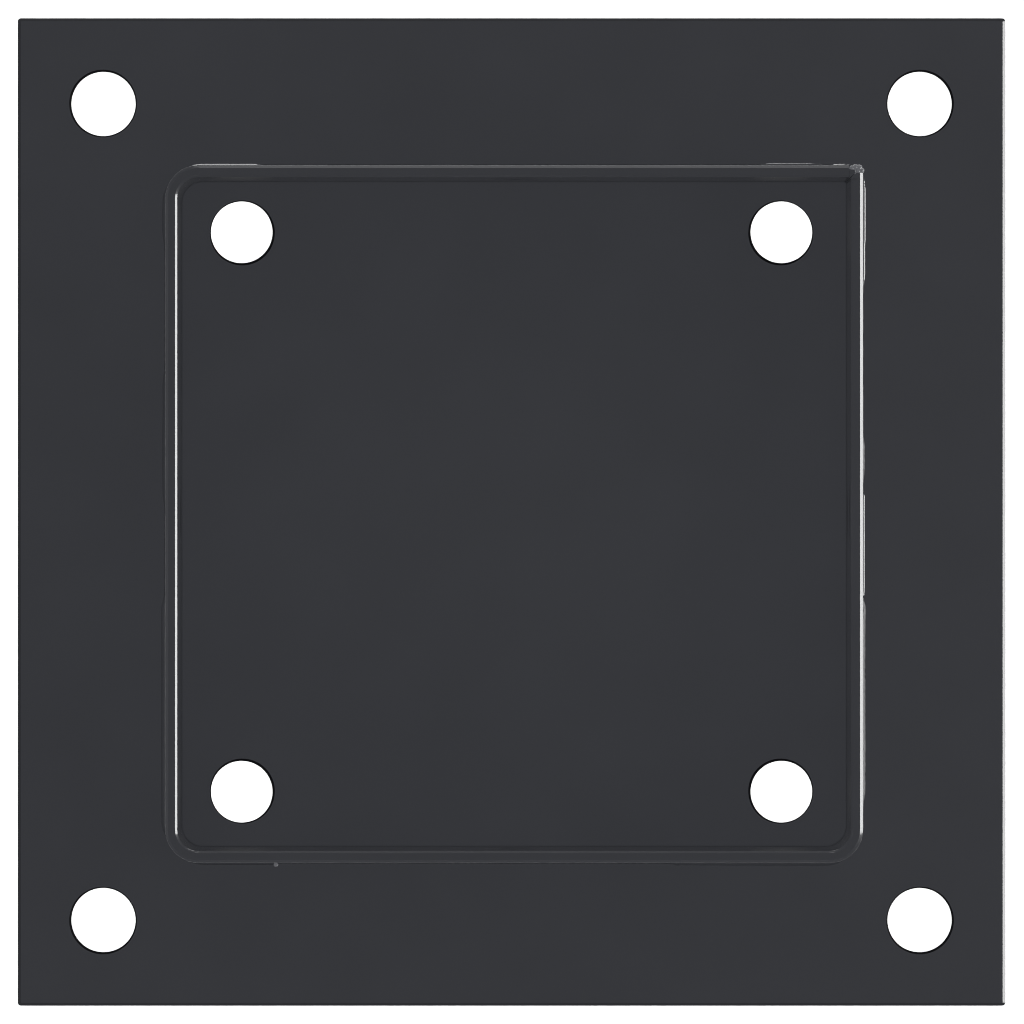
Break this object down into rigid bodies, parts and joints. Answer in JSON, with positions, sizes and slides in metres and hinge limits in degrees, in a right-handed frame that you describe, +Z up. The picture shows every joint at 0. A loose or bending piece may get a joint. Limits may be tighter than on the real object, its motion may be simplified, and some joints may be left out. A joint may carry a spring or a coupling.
{
  "type": "post anchor",
  "caption": "Bolt-down steel post anchor: a square base plate with bolt holes carries a welded, folded sheet sleeve that holds the foot of a square timber post.",
  "frame": {"origin": "middle of the base plate's underside", "axes": "+Z up along the post, +X and +Y across two faces of the sleeve, with the sleeve's welded corner at +X +Y"},
  "size_m": [0.15, 0.15, 0.1],
  "materials": {
    "coated_plate": "satin anthracite powder coat on steel plate",
    "coated_sleeve": "satin anthracite powder coat on folded steel sheet",
    "coated_weld": "satin anthracite powder coat over rippled weld bead"
  },
  "bodies": {
    "root": {"base_plate": "coated_plate", "post_sleeve": "coated_sleeve", "corner_seam_weld": "coated_weld", "foot_weld_back_left": "coated_weld", "foot_weld_left_corner": "coated_weld", "foot_weld_front": "coated_weld", "foot_weld_right_corner": "coated_weld", "foot_weld_right": "coated_weld"}
  },
  "joints": []
}
